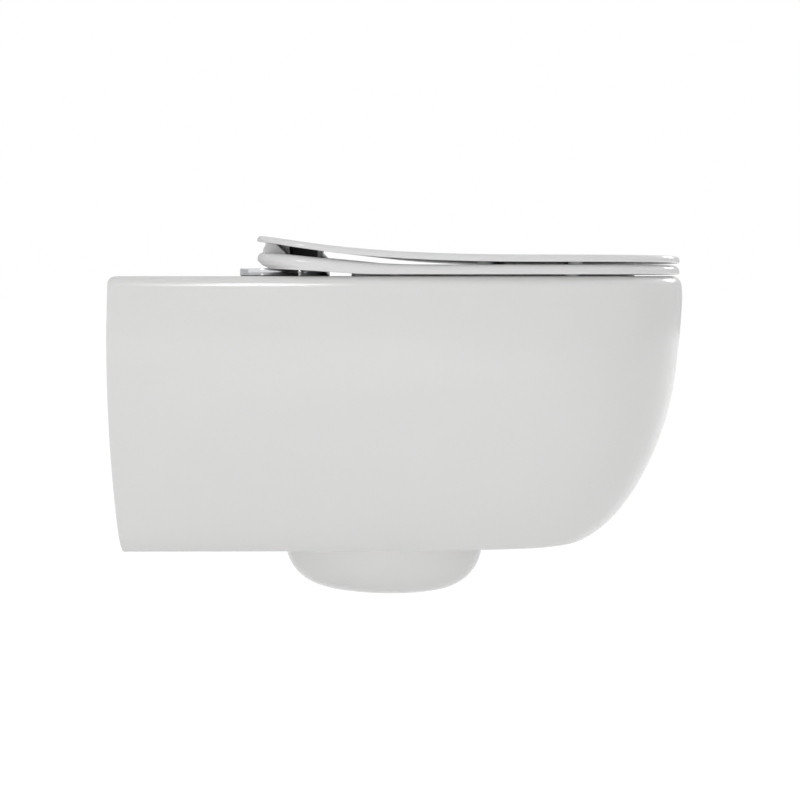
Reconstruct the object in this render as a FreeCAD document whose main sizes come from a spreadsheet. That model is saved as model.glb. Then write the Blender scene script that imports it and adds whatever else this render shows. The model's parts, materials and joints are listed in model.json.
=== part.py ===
import FreeCAD, Part
import Sketcher
import math
import os

# Wall-hung toilet: ceramic pan, slim ring seat and slim lid on two top-fixed
# hinges with soft-close cartridges, and the two wall fixings.  Millimetres.
#
# Frame: the wall is the plane Y = 0 and the front of the pan points to -Y.
# +X is to the right for somebody standing in front of it, +Z is up.  The
# origin lies on the wall, midway between the two fixing studs.

doc = FreeCAD.newDocument("WallHungToilet")

# ---------------------------------------------------------------- dimensions

SIZES = [
    # the pan's outside
    ("rim_height", 80, "rim and deck above the fixing studs"),
    ("ceramic_wall", 11, "thickness of the outer skin"),
    ("deck_thickness", 12, "thickness of the rim and deck"),
    ("rim_round", 10, "rounding of the rim's outer edge"),
    ("skirt_round", 9, "rounding of the skirt's bottom edge"),
    ("deck_rear_round", 6, "rounding of the deck's edge at the wall"),
    ("mouth_round", 5, "rounding of the bowl's mouth"),
    # the bowl, an oval mouth
    ("mouth_centre", 336, "wall to the middle of the bowl's mouth"),
    ("mouth_half_length", 158, "half length of the mouth"),
    ("mouth_half_width", 135, "half width of the mouth"),
    ("bowl_wall", 10, "thickness of the bowl and of the trap"),
    # the trap and its housing
    ("trap_radius", 28, "bore of the trap"),
    ("trap_bend", 52, "bend radius of the trap's lower bend"),
    ("trap_entry", 280, "wall to the trap's inlet leg"),
    ("trap_level", 155, "straight leg's end below the studs"),
    ("housing_centre", 227, "wall to the middle of the trap housing"),
    ("housing_half_length", 104.5, "half length of the trap housing"),
    ("housing_half_width", 78, "half width of the trap housing"),
    ("housing_drop", 245.5, "housing's underside below the studs"),
    ("housing_round", 46, "rounding of the housing's bottom edge"),
    # connections to the wall
    ("fixing_spacing", 180, "between the two wall fixing studs"),
    ("fixing_hole", 9, "radius of the ceramic's fixing holes"),
    ("stud_hole", 6.5, "radius of the clear hole for an M12 stud"),
    ("web_thickness", 16, "rear web that carries the fixings"),
    ("web_half_width", 170, "half width of that web"),
    ("web_foot", 42, "its lower edge below the studs"),
    ("access_half_width", 112, "half width of the opening below the fixings"),
    ("access_front", 104, "wall to the front of that opening"),
    ("access_rear", 12, "wall to its rear"),
    ("inlet_height", 35, "flush inlet above the studs"),
    ("inlet_radius", 27.5, "bore of the flush inlet"),
    ("inlet_depth", 38, "depth of the flush inlet's socket"),
    ("throat_radius", 18, "channel from that socket to the bowl"),
    ("funnel_length", 24, "cone between the socket and the channel"),
    ("outlet_drop", 100, "waste outlet below the studs"),
    ("outlet_radius", 51, "outer radius of the waste outlet"),
    ("outlet_bore", 43, "inner radius of the waste outlet"),
    ("outlet_recess", 5, "waste outlet's end in front of the wall"),
    ("outlet_length", 50, "straight length of the waste outlet"),
    ("outlet_taper", 38, "cone between the outlet and the trap"),
    # seat and lid
    ("cover_half_width", 172, "half width of the seat and of the lid"),
    ("cover_front", 524.8, "wall to the front of the seat and lid"),
    ("seat_rear", 127, "wall to the seat's rear edge"),
    ("lid_rear", 127, "wall to the lid's rear edge"),
    ("cover_corner", 55, "rear corner radius of the seat and lid"),
    ("seat_gap", 1.5, "rim to the seat's flat underside"),
    ("seat_top", 10.1, "rim to the seat's flat top"),
    ("lid_under", 12.4, "rim to the lid's flat underside"),
    ("lid_top", 18.7, "rim to the lid's flat top"),
    ("opening_centre", 339, "wall to the middle of the seat's opening"),
    ("opening_half_length", 135.5, "half length of the seat's opening"),
    ("opening_half_width", 110, "half width of the seat's opening"),
    ("lip_width", 8, "width of the lip round the seat's opening"),
    ("lip_drop", 1, "how far that lip hangs below the rim"),
    ("lip_height", 7, "how far it reaches into the seat"),
    ("seat_under_rise", 6.2, "rise of the seat's underside to the rear"),
    ("seat_top_rise", 12.8, "rise of the seat's top to the rear"),
    ("lid_under_rise", 20.3, "rise of the lid's underside to the rear"),
    ("lid_top_rise", 19.5, "rise of the lid's top to the rear"),
    ("seat_under_flat", 250, "wall to where the seat's underside turns flat"),
    ("seat_top_flat", 290, "wall to where the seat's top turns flat"),
    ("lid_flat", 390, "wall to where both sides of the lid turn flat"),
    ("seat_round", 6, "rounding of the seat's upper edge"),
    ("seat_under_round", 1.5, "rounding of the seat's lower edge"),
    ("lid_round", 3.8, "rounding of the lid's upper edge"),
    ("lid_under_round", 1.2, "rounding of the lid's lower edge"),
    ("slot_half_width", 86, "half width of the seat's slot for the hinges"),
    ("slot_front", 148, "wall to the front of that slot"),
    # hinges
    ("hinge_spacing", 155, "between the two seat fixing holes"),
    ("hinge_from_wall", 126.5, "wall to the seat fixing holes"),
    ("deck_hole", 7.25, "radius of the seat fixing holes"),
    ("axis_from_wall", 134, "wall to the hinge axis"),
    ("axis_height", 23.5, "hinge axis above the rim"),
    ("gasket_thickness", 0.8, "gasket under each hinge disc"),
    ("disc_radius", 28.6, "radius of each hinge disc"),
    ("disc_top", 7.6, "top of each hinge disc above the rim"),
    ("disc_wall", 1.8, "thickness of the hollow disc's roof"),
    ("disc_round", 1.5, "rounding of the disc's upper edge"),
    ("disc_relief", 1.4, "room round a disc in the seat's underside"),
    ("disc_headroom", 0.8, "room over a disc there"),
    ("stud_radius", 3.5, "stud of the base plate that carries the arm"),
    ("stud_rise", 8, "height of that stud above the disc"),
    ("base_thickness", 2.5, "steel base plate inside the disc"),
    ("bolt_radius", 4, "M8 hinge bolt"),
    ("plug_radius", 10.5, "expanded rubber plug under the deck"),
    ("plug_length", 16, "length of that plug under the deck"),
    ("clamp_nut_height", 6.5, "M8 nut under the plug"),
    ("clamp_nut_half_flats", 6.5, "half the width across its flats"),
    ("arm_from_middle", 70, "centre plane to each hinge arm"),
    ("arm_radius", 7, "radius of each hinge arm's post"),
    ("knuckle_radius", 7.9, "radius of each hinge arm's knuckle"),
    ("knuckle_inner", 61.5, "centre plane to a knuckle's inner face"),
    ("knuckle_outer", 78, "centre plane to a knuckle's outer face"),
    ("pin_radius", 3, "hinge pin"),
    ("pin_inner", 44, "centre plane to a pin's inner end"),
    ("pin_outer", 99, "centre plane to a pin's outer end"),
    ("running_gap", 0.05, "radial gap of a running fit"),
    ("damper_radius", 5.5, "soft-close cartridge in seat or lid"),
    ("lug_inner", 86.5, "centre plane to a seat lug's inner face"),
    ("lug_outer", 101.5, "centre plane to a seat lug's outer face"),
    ("lug_radius", 7.5, "radius of a seat lug"),
    ("lug_end", 1.5, "closed outer end of a seat lug"),
    ("barrel_half_length", 61, "half length of the hinge barrel under the lid"),
    ("barrel_radius", 11.5, "radius of that barrel"),
    ("damper_length", 19, "length of a cartridge in the barrel"),
    ("lid_lug_inner", 78.5, "centre plane to a lid lug's inner face"),
    ("lid_lug_outer", 85, "centre plane to a lid lug's outer face"),
    ("lid_lug_radius", 9.5, "radius of a lid lug"),
    ("lid_lug_reach", 13.3, "hinge axis to the front of a lid lug"),
    ("lid_lug_drop", 2, "hinge axis to that front part's underside"),
    ("lid_root", 10.3, "how far above the hinge axis barrel and lugs reach"),
    ("lid_notch", 10.5, "hinge axis to the front of the lid's notches"),
    # buffers
    ("buffer_radius", 6.7, "seat and lid buffers"),
    ("buffer_from_middle", 140, "centre plane to the front buffers"),
    ("seat_front_buffer", 418, "wall to the seat's front buffers"),
    ("lid_front_buffer", 421, "wall to the lid's front buffers"),
    ("seat_rear_buffer", 262, "wall to the seat's rear buffers"),
    ("lid_rear_buffer", 340, "wall to the lid's rear buffers"),
    ("rear_buffer_from_middle", 147, "centre plane to the rear buffers"),
    ("stem_radius", 2.5, "stem of a buffer"),
    ("stem_length", 3, "length of that stem"),
    ("rest_gap", 0.05, "buffer's foot to what it rests on"),
    # wall fixings
    ("sleeve_flange", 14, "radius of a fixing sleeve's flange"),
    ("flange_thickness", 2, "thickness of that flange"),
    ("washer_thickness", 2.5, "M12 washer"),
    ("nut_height", 10, "M12 nut"),
    ("nut_half_flats", 9, "half the width across the M12 nut's flats"),
    ("nut_bore", 6, "radius of the M12 nut's thread"),
]

# Outline of the pan's outside, level by level: drop below the rim, half width
# at the wall, front, and how much of the width is kept at the shoulder.
SKIRT_LEVELS = [
    (0, 174, 525.5, 1.00),
    (40, 179.2, 527.6, 1.00),
    (80, 182, 525, 1.00),
    (120, 182, 520, 0.97),
    (160, 179.6, 509.7, 0.92),
    (206, 173.7, 490, 0.83),
    (236, 168, 470.5, 0.745),
    (261.5, 156, 442, 0.67),
]

# Inside of the bowl, level by level below the mouth: drop below the rim,
# middle of the oval from the wall, half length and half width.
BOWL_LEVELS = [
    (40, 336, 155, 131),
    (90, 331, 143, 118),
    (140, 320, 120, 94),
    (195, 296, 72, 62),
    (222, 284, 46, 43),
]

# In each outline the shoulder lies at this share of the way to the front, and
# the curve's two front poles stand apart by this share of the shoulder's width.
SHOULDER_PLACE = 0.78
NOSE_WIDTH = 0.68

# Seat and lid slope down from the hinges to a flat front part.  The slope is one
# Bezier curve from SLOPE_START: how far from the wall its inner poles lie, and
# what share of the drop is still left there.
SLOPE_START = 118
SEAT_SLOPE = [(175, 0.82), (225, 0.0)]
LID_SLOPE = [(175, 0.82), (203, 0.0)]

# The heel of the seat slants in from its rear edge and round its corners:
# distance of the rear edge from the wall, height over the rim.
SEAT_HEEL = [(127, 14.6), (131.8, 10.1), (138.2, 7), (138.2, -1)]

# The front flank of each seat lug, which slants down into the seat's top:
# distance from the wall, height over the rim.
LUG_FLANK = [(134, 30.9), (139.9, 30), (150, 19.9), (150, 14), (134, 14)]

# How far cutting and trimming forms run past what they cut.
OVERRUN = 12
WIDE = 400

# The bowl's foot stands this far outside the trap's bore, which leaves an edge
# between them where the water goes over.
LEDGE = 0.6

V = FreeCAD.Vector
X_AXIS = V(1, 0, 0)
Y_AXIS = V(0, 1, 0)
Z_AXIS = V(0, 0, 1)

sheet = doc.addObject("Spreadsheet::Sheet", "Sizes")
for row, (alias, value, note) in enumerate(SIZES, start=1):
    sheet.set(f"A{row}", note)
    sheet.set(f"B{row}", str(value))
    sheet.setAlias(f"B{row}", alias)
doc.recompute()

nodes = []


def size(alias):
    """The number in the sheet under this alias."""
    return float(sheet.get(alias))


RIM = size("rim_height")
SKIRT_FOOT = RIM - SKIRT_LEVELS[-1][0]


def keep(part, label):
    """Name an object as one of the sub-parts that are written out."""
    part.Label = label
    nodes.append(part)
    return part


# ------------------------------------------------------------ sketch helpers

def origin_plane(body, role):
    """The body's own origin plane with this role."""
    return next(plane for plane in body.Origin.OriginFeatures if plane.Role == role)


def new_sketch(body, plane, name):
    """An empty sketch on one of the body's own planes."""
    sketch = body.newObject("Sketcher::SketchObject", name)
    sketch.AttachmentSupport = (origin_plane(body, plane), [""])
    sketch.MapMode = "FlatFace"
    return sketch


def hold(sketch, kind, axis, item, point, expression):
    """Hold a sketch point at a distance from the origin, given by the sheet."""
    value = float(sketch.evalExpression(expression))
    if abs(value) < 1e-9:
        sketch.addConstraint(Sketcher.Constraint("PointOnObject", item, point, axis))
        return
    index = sketch.addConstraint(Sketcher.Constraint(kind, -1, 1, item, point, value))
    sketch.setExpression(f"Constraints[{index}]", expression)


def add_polygon(sketch, corners):
    """A closed outline of straight lines, each corner held by the sheet."""
    points = [V(float(sketch.evalExpression(x)), float(sketch.evalExpression(y)), 0)
              for x, y in corners]
    first = sketch.GeometryCount
    count = len(points)
    for i in range(count):
        sketch.addGeometry(Part.LineSegment(points[i], points[(i + 1) % count]), False)
    for i in range(count):
        following = first + (i + 1) % count
        sketch.addConstraint(Sketcher.Constraint("Coincident", first + i, 2, following, 1))
    for i, (x, y) in enumerate(corners):
        hold(sketch, "DistanceX", -2, first + i, 1, x)
        hold(sketch, "DistanceY", -1, first + i, 1, y)


def add_circle(sketch, x, y, radius):
    """A circle whose middle and radius are held by the sheet."""
    centre = V(float(sketch.evalExpression(x)), float(sketch.evalExpression(y)), 0)
    circle = Part.Circle(centre, Z_AXIS, float(sketch.evalExpression(radius)))
    item = sketch.addGeometry(circle, False)
    hold(sketch, "DistanceX", -2, item, 3, x)
    hold(sketch, "DistanceY", -1, item, 3, y)
    index = sketch.addConstraint(Sketcher.Constraint("Radius", item, circle.Radius))
    sketch.setExpression(f"Constraints[{index}]", radius)


def add_hexagon(sketch, half_flats):
    """A hexagon round the origin with two flats upright."""
    reach = f"({half_flats}) * 2 / sqrt(3)"
    corners = [("0", reach), (f"-({half_flats})", f"{reach} / 2"),
               (f"-({half_flats})", f"-{reach} / 2"), ("0", f"-{reach}"),
               (half_flats, f"-{reach} / 2"), (half_flats, f"{reach} / 2")]
    add_polygon(sketch, corners)


def place(body, x, y, z, rotation=None):
    """Put the body where the sheet says, after turning it."""
    if rotation is not None:
        body.Placement = FreeCAD.Placement(V(0, 0, 0), rotation)
    for axis, expression in zip("xyz", (x, y, z)):
        body.setExpression(f"Placement.Base.{axis}", expression)


def turned(label, profile, x, y, z, rotation=None):
    """A piece turned about its own Z axis from (radius, height) corners."""
    body = doc.addObject("PartDesign::Body", label)
    sketch = new_sketch(body, "XZ_Plane", "profile_" + label)
    add_polygon(sketch, profile)
    turn = body.newObject("PartDesign::Revolution", "turn_" + label)
    turn.Profile = sketch
    turn.ReferenceAxis = (sketch, ["V_Axis"])
    turn.Angle = 360
    place(body, x, y, z, rotation)
    return keep(body, label)


def tube(inner, outer, bottom, top):
    """The profile of a plain tube, washer or, with inner 0, a disc."""
    return [(inner, bottom), (outer, bottom), (outer, top), (inner, top)]


# ------------------------------------------------------------ the pan's forms

def round_front(half_width, kept, start, front, level):
    """A symmetric curve: sides that start alike, shoulders, and a round front."""
    reach = SHOULDER_PLACE * front
    # the curve's middle weighs the two nose poles 46 and the shoulders 2 of 48
    peak = (48 * front - 2 * reach) / 46
    side = [V(half_width, -start, level), V((half_width + kept) / 2, -(start + reach) / 2, level),
            V(kept, -reach, level), V(NOSE_WIDTH * kept, -peak, level)]
    other = [V(-pole.x, pole.y, pole.z) for pole in reversed(side)]
    curve = Part.BSplineCurve()
    curve.buildFromPoles(side + other, False, 3)
    return curve


def u_outline(half_width, front, shoulder, level):
    """A closed U: sides that start behind the wall and meet in a round front."""
    curve = round_front(half_width, half_width * shoulder, -OVERRUN, front, level)
    closing = Part.LineSegment(curve.EndPoint, curve.StartPoint)
    return Part.Wire([curve.toShape(), closing.toShape()])


def oval(centre, half_length, half_width, level):
    """A level ellipse whose long axis runs from front to back."""
    middle = V(0, -centre, level)
    longer = max(half_length, half_width + 0.001)
    front = V(0, -centre - longer, level)
    curve = Part.Ellipse(front, V(half_width, -centre, level), middle)
    return Part.Wire([curve.toShape()])


def skirt_loft(inset, top, bottom):
    """The skirt between two drops below the rim, set in by a wall."""
    wires = []
    for drop, half_width, front, shoulder in SKIRT_LEVELS:
        level = RIM - min(max(drop, top), bottom)
        wires.append(u_outline(half_width - inset, front - inset, shoulder, level))
    return Part.makeLoft(wires, True)


def edges_at(shape, level):
    """The edges that lie at one height."""
    return [edge for edge in shape.Edges
            if abs(edge.BoundBox.ZMin - level) < 0.01
            and abs(edge.BoundBox.ZMax - level) < 0.01]


def in_front(edges):
    """Those edges that reach out in front of the wall."""
    return [edge for edge in edges if edge.BoundBox.YMin < 0]


def pan_envelope():
    """The pan's outside, solid, with its edges rounded and flat at the wall."""
    body = skirt_loft(0, 0, SKIRT_LEVELS[-1][0])
    body = body.makeFillet(size("rim_round"), in_front(edges_at(body, RIM)))
    body = body.makeFillet(size("skirt_round"), in_front(edges_at(body, SKIRT_FOOT)))
    behind = Part.makeBox(WIDE, 2 * OVERRUN, WIDE, V(-WIDE / 2, 0, RIM + OVERRUN - WIDE))
    return body.cut([behind, rear_rounding()])


def rear_rounding():
    """What is taken off the deck's edge along the wall to round it."""
    radius = size("deck_rear_round")
    corner = V(-WIDE / 2, -radius, RIM - radius)
    block = Part.makeBox(WIDE, radius + OVERRUN, radius + OVERRUN, corner)
    # a little over the radius, so that the round meets both faces in a clear edge
    bar = Part.makeCylinder(radius * 1.03, WIDE, corner, X_AXIS)
    return block.cut(bar)


def trap_housing(inset):
    """The oval housing under the skirt, or with an inset its inside."""
    top = SKIRT_FOOT + size("ceramic_wall") + inset
    bottom = -size("housing_drop") + inset
    wire = oval(size("housing_centre"), size("housing_half_length") - inset,
                size("housing_half_width") - inset, bottom)
    block = Part.Face(wire).extrude(V(0, 0, top - bottom))
    return block.makeFillet(size("housing_round") - inset, edges_at(block, bottom))


def bowl_form(wall, top):
    """The bowl's inside, or with a wall its outside, down to the trap."""
    length = size("mouth_half_length") + wall
    width = size("mouth_half_width") + wall
    wires = [oval(size("mouth_centre"), length, width, top)]
    for drop, centre, half_length, half_width in BOWL_LEVELS:
        wires.append(oval(centre, half_length + wall, half_width + wall, RIM - drop))
    radius = size("trap_radius") + wall + LEDGE
    wires.append(oval(size("trap_entry"), radius, radius, -size("trap_level") - 2))
    return Part.makeLoft(wires, True)


def bend(radius, centre, turn_radius, start, angle):
    """A round pipe bend in the centre plane, about an axis along X."""
    offset = V(0, math.cos(math.radians(start)), math.sin(math.radians(start)))
    middle = centre + offset * turn_radius
    direction = X_AXIS.cross(offset)
    disc = Part.Face(Part.Wire([Part.Circle(middle, direction, radius).toShape()]))
    return disc.revolve(centre, X_AXIS, angle)


def trap_pipe(radius):
    """The trap: down, round the lower bend, up and over towards the wall."""
    lower = size("trap_bend")
    level = -size("trap_level")
    upper = size("trap_level") - size("outlet_drop")
    middle = V(0, lower - size("trap_entry"), level)
    over = V(0, middle.y + lower + upper, level)
    return [bend(radius, middle, lower, 180, 180), bend(radius, over, upper, 180, -90)]


def along_y(radius, start, end, level, x=0.0):
    """A round bar from one distance in front of the wall to another."""
    return Part.makeCylinder(radius, start - end, V(x, -start, level), Y_AXIS)


def outlet(radius, trap_radius, end):
    """The waste outlet's straight part and the cone that joins it to the trap."""
    level = -size("outlet_drop")
    shoulder = size("outlet_recess") + size("outlet_length")
    narrow = shoulder + size("outlet_taper")
    trap_end = size("trap_entry") - 2 * size("trap_bend") - size("trap_level") + size("outlet_drop")
    cone = Part.makeCone(trap_radius, radius, narrow - shoulder, V(0, -narrow, level), Y_AXIS)
    return [along_y(radius, shoulder, end, level), cone,
            along_y(trap_radius, trap_end, narrow, level)]


def inlet_body():
    """The horn from the flush inlet to the back of the bowl."""
    reach = size("mouth_centre") - size("mouth_half_length") + OVERRUN
    return along_y(size("inlet_radius") + size("bowl_wall"), reach, 0, size("inlet_height"))


def inlet_passage():
    """The flush inlet's socket, its throat and the channel to the bowl."""
    level = size("inlet_height")
    socket = size("inlet_depth")
    throat = size("throat_radius")
    funnel = size("funnel_length")
    cone = Part.makeCone(throat, size("inlet_radius"), funnel,
                         V(0, -socket - funnel, level), Y_AXIS)
    reach = size("mouth_centre") - size("mouth_half_length") + 2 * OVERRUN
    return [along_y(size("inlet_radius"), socket, -OVERRUN, level), cone,
            along_y(throat, reach, socket + funnel, level)]


def rear_web():
    """The upright web at the wall that the fixing studs pass through."""
    half_width = size("web_half_width")
    foot = -size("web_foot")
    height = RIM - size("deck_thickness") / 2 - foot
    return Part.makeBox(2 * half_width, size("web_thickness"), height,
                        V(-half_width, -size("web_thickness"), foot))


def fixing_access():
    """The opening in the skirt's bottom through which the nuts are reached."""
    half_width = size("access_half_width")
    front = size("access_front")
    depth = front - size("access_rear")
    height = size("ceramic_wall") + 2 * OVERRUN
    return Part.makeBox(2 * half_width, depth, height,
                        V(-half_width, -front, SKIRT_FOOT - OVERRUN))


def make_pan():
    """The ceramic pan: skin, deck, bowl, trap, web, inlet and outlet in one."""
    envelope = pan_envelope()
    housing = trap_housing(0)
    wall = size("ceramic_wall")
    deck = size("deck_thickness")
    floor = SKIRT_LEVELS[-1][0] - wall
    hollow = skirt_loft(wall, deck, floor)
    skin = envelope.fuse(housing).cut([hollow, trap_housing(size("bowl_wall"))])
    skin = skin.cut(fixing_access())

    shell_top = RIM - deck / 2
    inside = [bowl_form(size("bowl_wall"), shell_top), inlet_body(), rear_web()]
    trap_outside = size("trap_radius") + size("bowl_wall")
    inside += trap_pipe(trap_outside)
    inside += outlet(size("outlet_radius"), trap_outside, size("outlet_recess"))
    inside = inside[0].fuse(inside[1:]).common(envelope.fuse(housing))
    pan = skin.fuse(inside)

    spacing = size("fixing_spacing") / 2
    holes = [bowl_form(0, RIM + 2)] + trap_pipe(size("trap_radius")) + inlet_passage()
    holes += outlet(size("outlet_bore"), size("trap_radius"), -OVERRUN)
    for side in (-1, 1):
        holes.append(along_y(size("fixing_hole"), size("web_thickness") + OVERRUN, -OVERRUN,
                             0, side * spacing))
        holes.append(Part.makeCylinder(
            size("deck_hole"), deck + 2 * OVERRUN,
            V(side * size("hinge_spacing") / 2, -size("hinge_from_wall"),
              RIM - deck - OVERRUN)))
    pan = pan.cut(holes).removeSplitter()
    half_width = size("mouth_half_width")
    mouth = [edge for edge in edges_at(pan, RIM)
             if abs(edge.BoundBox.XMax - half_width) < 0.5 * size("mouth_round")]
    pan = pan.makeFillet(size("mouth_round"), mouth)
    feature = doc.addObject("Part::Feature", "pan")
    feature.Shape = pan
    return keep(feature, "pan")


# ------------------------------------------------------------- seat and lid

def cover_outline(rear):
    """The outline seen from above: straight rear, round corners, round front."""
    half_width = size("cover_half_width")
    corner = size("cover_corner")
    start = rear + corner
    curve = round_front(half_width, half_width, start, size("cover_front"), 0)
    diagonal = corner * math.sqrt(0.5)
    corners = []
    for sign in (-1, 1):
        middle = V(sign * (half_width - corner), -start, 0)
        corners.append(Part.Arc(middle + V(sign * corner, 0, 0),
                                middle + V(sign * diagonal, diagonal, 0),
                                middle + V(0, corner, 0)).toShape())
    back = Part.LineSegment(V(corner - half_width, -rear, 0), V(half_width - corner, -rear, 0))
    return Part.Wire([curve.toShape(), corners[0], back.toShape(), corners[1]])


def slope(inner_poles, height, rise, flat):
    """The curve in the plane X = 0 that comes down by a rise to its flat height."""
    poles = [(SLOPE_START, 1.0)] + inner_poles + [(flat, 0.0)]
    curve = Part.BezierCurve()
    curve.setPoles([V(0, -d, RIM + height + rise * share) for d, share in poles])
    return curve


def cover_slab(rear, lower, upper):
    """A slab between two sloping curves that run on level to the front."""
    far = -size("cover_front") - OVERRUN
    ends = [upper.EndPoint, V(0, far, upper.EndPoint.z), V(0, far, lower.EndPoint.z),
            lower.EndPoint]
    edges = [upper.toShape()]
    edges += [Part.LineSegment(a, b).toShape() for a, b in zip(ends, ends[1:])]
    edges.append(lower.toShape())
    edges.append(Part.LineSegment(lower.StartPoint, upper.StartPoint).toShape())
    side = Part.Face(Part.Wire(Part.__sortEdges__(edges)))
    side.translate(V(-WIDE / 2, 0, 0))
    plan = Part.Face(cover_outline(rear))
    plan.translate(V(0, 0, RIM - OVERRUN))
    return side.extrude(V(WIDE, 0, 0)).common(plan.extrude(V(0, 0, WIDE)))


def looks(face, sign):
    """Whether a face looks up (1) or down (-1)."""
    u0, u1, v0, v1 = face.ParameterRange
    return face.normalAt((u0 + u1) / 2, (v0 + v1) / 2).z * sign > 0.9


def outer_edges(shape, sign):
    """The outline edges of a slab's top (1) or underside (-1)."""
    rims = []
    for face in shape.Faces:
        if looks(face, sign):
            rims += face.OuterWire.Edges
    # the line where the slope turns flat runs straight across, in front of the corners
    corner = -size("lid_rear") - size("cover_corner")
    across = [edge for edge in rims if abs(edge.tangentAt(edge.FirstParameter).x) > 0.999
              and edge.BoundBox.YMin < corner]
    return [edge for edge in rims if not any(edge.isSame(other) for other in across)]


def along_x(radius, inner, outer, sign):
    """A round bar on the hinge axis between two distances from the middle."""
    start = V(sign * inner, -size("axis_from_wall"), RIM + size("axis_height"))
    return Part.makeCylinder(radius, outer - inner, start, X_AXIS * sign)


def box(x_inner, x_outer, d_near, d_far, low, high, sign=1):
    """A box from distances from the middle and the wall, and heights over the rim."""
    left = min(sign * x_inner, sign * x_outer)
    return Part.makeBox(x_outer - x_inner, d_far - d_near, high - low,
                        V(left, -d_far, RIM + low))


def buffer_holes(places, stem_radius, low, high):
    """The blind holes that hold the buffers' stems."""
    return [Part.makeCylinder(stem_radius, high - low, V(x, -d, RIM + low))
            for x, d in places]


def buffer_places(front, rear):
    """Where four buffers stand: a front pair and a rear pair."""
    return [(sign * size(inner), size(d)) for inner, d in (front, rear) for sign in (-1, 1)]


SEAT_PLACES = (("buffer_from_middle", "seat_front_buffer"),
               ("rear_buffer_from_middle", "seat_rear_buffer"))
LID_PLACES = (("buffer_from_middle", "lid_front_buffer"),
              ("rear_buffer_from_middle", "lid_rear_buffer"))


def make_seat():
    """The ring: a slab with a lip that hangs down round its opening."""
    under = slope(SEAT_SLOPE, size("seat_gap"), size("seat_under_rise"), size("seat_under_flat"))
    top = slope(SEAT_SLOPE, size("seat_top"), size("seat_top_rise"), size("seat_top_flat"))
    seat = cover_slab(size("seat_rear"), under, top)
    seat = seat.makeFillet(size("seat_round"), outer_edges(seat, 1))
    seat = seat.makeFillet(size("seat_under_round"), outer_edges(seat, -1))
    centre = size("opening_centre")
    length = size("opening_half_length")
    width = size("opening_half_width")
    lip = size("lip_width")
    drop = size("lip_drop")
    collar = Part.Face(oval(centre, length + lip, width + lip, RIM - drop))
    seat = seat.fuse(collar.extrude(V(0, 0, drop + size("lip_height"))))
    opening = Part.Face(oval(centre, length, width, RIM - OVERRUN))
    return seat.cut(opening.extrude(V(0, 0, 4 * OVERRUN)))


def seat_hinge(seat):
    """Cut the slot and the reliefs for the hinges and add the two lugs."""
    slot = box(-size("slot_half_width"), size("slot_half_width"), size("seat_rear") - OVERRUN,
               size("slot_front"), -OVERRUN, 4 * OVERRUN)
    lugs = []
    for sign in (-1, 1):
        lugs.append(along_x(size("lug_radius"), size("lug_inner"), size("lug_outer"), sign))
        lugs.append(lug_flank(sign))
    seat = seat.cut(slot).fuse(lugs)
    cuts = [heel_cut()]
    for sign in (-1, 1):
        cuts.append(along_x(size("damper_radius"), size("slot_half_width") - 1,
                            size("lug_outer") - size("lug_end"), sign))
        cuts.append(Part.makeCylinder(size("disc_radius") + size("disc_relief"),
                                      size("disc_top") + size("disc_headroom"),
                                      V(sign * size("hinge_spacing") / 2,
                                        -size("hinge_from_wall"), RIM)))
    return seat.cut(cuts)


def lug_flank(sign):
    """The slanting part in front of a seat lug."""
    x = min(sign * size("lug_inner"), sign * size("lug_outer"))
    points = [V(x, -d, RIM + height) for d, height in LUG_FLANK]
    width = size("lug_outer") - size("lug_inner")
    return Part.Face(Part.makePolygon(points + points[:1])).extrude(V(width, 0, 0))


def heel_outline(rear, height, front):
    """A level outline with a straight rear, rounded corners and a straight front."""
    half_width = size("cover_half_width") + 2
    corner = size("cover_corner") + 2
    level = RIM + height
    diagonal = corner * (1 - math.sqrt(0.5))
    arcs = []
    for sign in (-1, 1):
        arcs.append(Part.Arc(V(sign * half_width, -rear - corner, level),
                             V(sign * (half_width - diagonal), -rear - diagonal, level),
                             V(sign * (half_width - corner), -rear, level)).toShape())
    ends = [V(half_width, -rear - corner, level), V(half_width, -front, level),
            V(-half_width, -front, level), V(-half_width, -rear - corner, level)]
    edges = [Part.LineSegment(a, b).toShape() for a, b in zip(ends, ends[1:])]
    back = Part.LineSegment(V(corner - half_width, -rear, level), V(half_width - corner, -rear, level))
    return Part.Wire(Part.__sortEdges__(arcs + edges + [back.toShape()]))


def heel_cut():
    """What is cut off the seat's lower rear edge, so that its heel slants."""
    front = size("seat_rear") + 2 * size("cover_corner")
    kept = Part.makeLoft([heel_outline(rear, height, front) for rear, height in SEAT_HEEL],
                         True, True)
    low = SEAT_HEEL[-1][1]
    block = box(-WIDE / 2, WIDE / 2, size("seat_rear") - OVERRUN, front, low, SEAT_HEEL[0][1])
    return block.cut(kept)


def make_seat_ring():
    """The whole seat, as one moulding."""
    seat = seat_hinge(make_seat())
    stem = size("stem_radius")
    holes = buffer_holes(buffer_places(*SEAT_PLACES), stem, -1, size("seat_gap") + size("stem_length"))
    feature = doc.addObject("Part::Feature", "seat_ring")
    feature.Shape = seat.cut(holes).removeSplitter()
    return keep(feature, "seat_ring")


def lid_slab():
    """The lid's sloping slab with its edges rounded."""
    under = slope(LID_SLOPE, size("lid_under"), size("lid_under_rise"), size("lid_flat"))
    top = slope(LID_SLOPE, size("lid_top"), size("lid_top_rise"), size("lid_flat"))
    lid = cover_slab(size("lid_rear"), under, top)
    lid = lid.makeFillet(size("lid_round"), outer_edges(lid, 1))
    return lid.makeFillet(size("lid_under_round"), outer_edges(lid, -1))


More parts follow.
